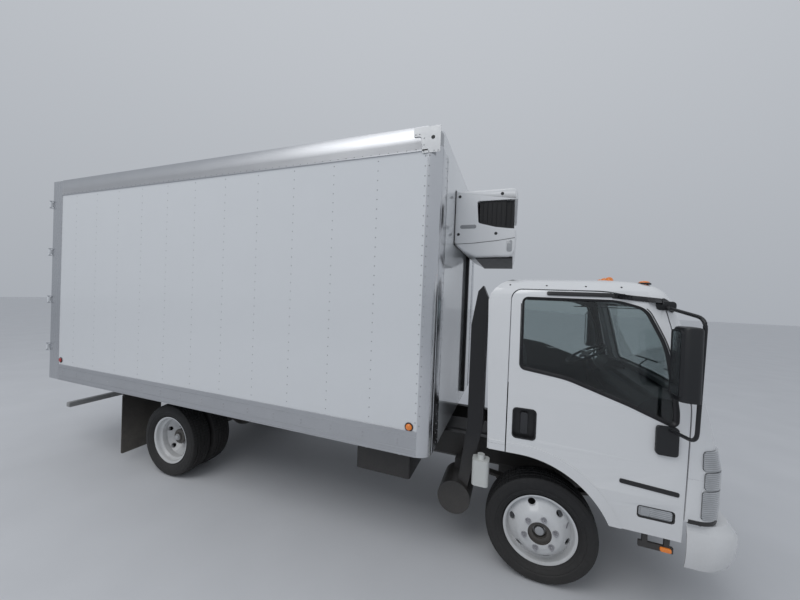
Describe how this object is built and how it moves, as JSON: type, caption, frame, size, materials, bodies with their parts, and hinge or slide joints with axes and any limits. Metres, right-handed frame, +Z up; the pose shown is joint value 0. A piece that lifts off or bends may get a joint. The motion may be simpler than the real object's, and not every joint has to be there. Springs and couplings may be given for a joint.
{
  "type": "refrigerated box truck",
  "caption": "Low cab-over box truck with an insulated body, a front-wall cooling unit, twin rear wheels, a tilting cab with a front lid, steering, cab doors and full-height rear doors.",
  "frame": {"origin": "on the ground, midway along and across the truck's overall box", "axes": "+X forward along the truck, +Y to its left, +Z up"},
  "size_m": [7.0678, 2.544, 3.3909],
  "materials": {
    "bar_grey": "satin",
    "bar_steel": "satin",
    "black_plastic": "satin",
    "bottle_white": "satin",
    "box_white": "satin",
    "bumper_white": "gloss",
    "cab_glass": "gloss",
    "cab_white": "gloss",
    "cast_steel": "satin",
    "dash_plastic": "matte",
    "engine_iron": "matte",
    "exhaust_steel": "matte",
    "flap_rubber": "matte",
    "floor_aluminium": "satin",
    "frame_black": "satin",
    "grille_black": "matte",
    "knuckle_iron": "matte",
    "lamp_amber": "gloss",
    "lamp_clear": "gloss",
    "lamp_red": "gloss",
    "mirror_black": "satin",
    "post_steel": "brushed",
    "rail_aluminium": "satin",
    "rear_steel": "satin",
    "seat_fabric": "matte",
    "spring_steel": "matte",
    "tank_aluminium": "brushed",
    "tyre": "matte",
    "unit_white": "satin",
    "wheel_white": "gloss"
  },
  "bodies": {
    "chassis": {"frame": "frame_black", "front_axle": "frame_black", "rear_axle": "frame_black", "leaf_springs": "spring_steel", "engine": "engine_iron", "drive_shaft": "frame_black", "fuel_tank": "tank_aluminium", "battery_box": "black_plastic", "exhaust": "exhaust_steel", "air_intake": "black_plastic", "reservoir": "bottle_white", "mud_flaps": "flap_rubber", "underrun_bar": "bar_grey", "front_bumper": "bumper_white", "tail_lamps": "lamp_red", "box_floor": "floor_aluminium", "box_sides": "box_white", "box_roof": "box_white", "box_front_wall": "box_white", "bottom_rails": "rail_aluminium", "top_rails": "rail_aluminium", "corner_posts": "post_steel", "rear_frame": "rear_steel", "cooling_unit": "unit_white", "condenser": "grille_black", "evaporator": "unit_white", "corner_caps": "cast_steel", "bumper_lamps": "lamp_clear"},
    "cab": {"cab_floor": "cab_white", "cab_front": "cab_white", "cab_rear": "cab_white", "cab_roof": "cab_white", "cab_glass": "cab_glass", "headlamps": "lamp_clear", "roof_lamps": "lamp_amber", "seats": "seat_fabric", "dashboard": "dash_plastic", "steering_wheel": "dash_plastic"},
    "front_lid": {"front_panel": "cab_white"},
    "door_right": {"door_right": "cab_white", "door_glass_right": "cab_glass", "mirror_right": "mirror_black"},
    "knuckle_right": {"knuckle_right": "knuckle_iron"},
    "front_wheel_right": {"front_rim_right": "wheel_white", "front_tyre_right": "tyre"},
    "rear_wheels_right": {"rear_rims_right": "wheel_white", "rear_tyres_right": "tyre"},
    "cargo_door_right": {"cargo_door_right": "box_white", "lock_bars_right": "bar_steel"},
    "door_left": {"door_left": "cab_white", "door_glass_left": "cab_glass", "mirror_left": "mirror_black"},
    "knuckle_left": {"knuckle_left": "knuckle_iron"},
    "front_wheel_left": {"front_rim_left": "wheel_white", "front_tyre_left": "tyre"},
    "rear_wheels_left": {"rear_rims_left": "wheel_white", "rear_tyres_left": "tyre"},
    "cargo_door_left": {"cargo_door_left": "box_white", "lock_bars_left": "bar_steel"}
  },
  "joints": [
    {"name": "cab_tilt", "type": "hinge", "parent": "chassis", "child": "cab", "pos_m": [3.299, 0, 0.78], "axis": [0, 1, 0], "range_deg": [0, 45]},
    {"name": "front_lid_hinge", "type": "hinge", "parent": "cab", "child": "front_lid", "pos_m": [3.321, 0, 1.386], "axis": [0, -1, 0], "range_deg": [0, 70]},
    {"name": "door_right_hinge", "type": "hinge", "parent": "cab", "child": "door_right", "pos_m": [3.133, -1.005, 1.3], "axis": [0, 0, 1], "range_deg": [0, 70]},
    {"name": "steer_right", "type": "hinge", "parent": "chassis", "child": "knuckle_right", "pos_m": [2.289, -0.69, 0.398], "axis": [0, 0, 1], "range_deg": [-36, 36]},
    {"name": "front_wheel_right_spin", "type": "hinge", "parent": "knuckle_right", "child": "front_wheel_right", "pos_m": [2.289, -0.825, 0.398], "axis": [0, 1, 0], "continuous": true},
    {"name": "rear_wheels_right_spin", "type": "hinge", "parent": "chassis", "child": "rear_wheels_right", "pos_m": [-1.521, -0.825, 0.398], "axis": [0, 1, 0], "continuous": true},
    {"name": "cargo_door_right_hinge", "type": "hinge", "parent": "chassis", "child": "cargo_door_right", "pos_m": [-3.522, -1.235, 1.3], "axis": [0, 0, 1], "range_deg": [0, 270]},
    {"name": "door_left_hinge", "type": "hinge", "parent": "cab", "child": "door_left", "pos_m": [3.133, 1.005, 1.3], "axis": [0, 0, 1], "range_deg": [-70, 0]},
    {"name": "steer_left", "type": "hinge", "parent": "chassis", "child": "knuckle_left", "pos_m": [2.289, 0.69, 0.398], "axis": [0, 0, 1], "range_deg": [-36, 36]},
    {"name": "front_wheel_left_spin", "type": "hinge", "parent": "knuckle_left", "child": "front_wheel_left", "pos_m": [2.289, 0.825, 0.398], "axis": [0, 1, 0], "continuous": true},
    {"name": "rear_wheels_left_spin", "type": "hinge", "parent": "chassis", "child": "rear_wheels_left", "pos_m": [-1.521, 0.825, 0.398], "axis": [0, 1, 0], "continuous": true},
    {"name": "cargo_door_left_hinge", "type": "hinge", "parent": "chassis", "child": "cargo_door_left", "pos_m": [-3.522, 1.235, 1.3], "axis": [0, 0, 1], "range_deg": [-270, 0]}
  ],
  "couplings": [
    {"joint": "steer_right", "follows": "steer_left", "ratio": 1}
  ]
}
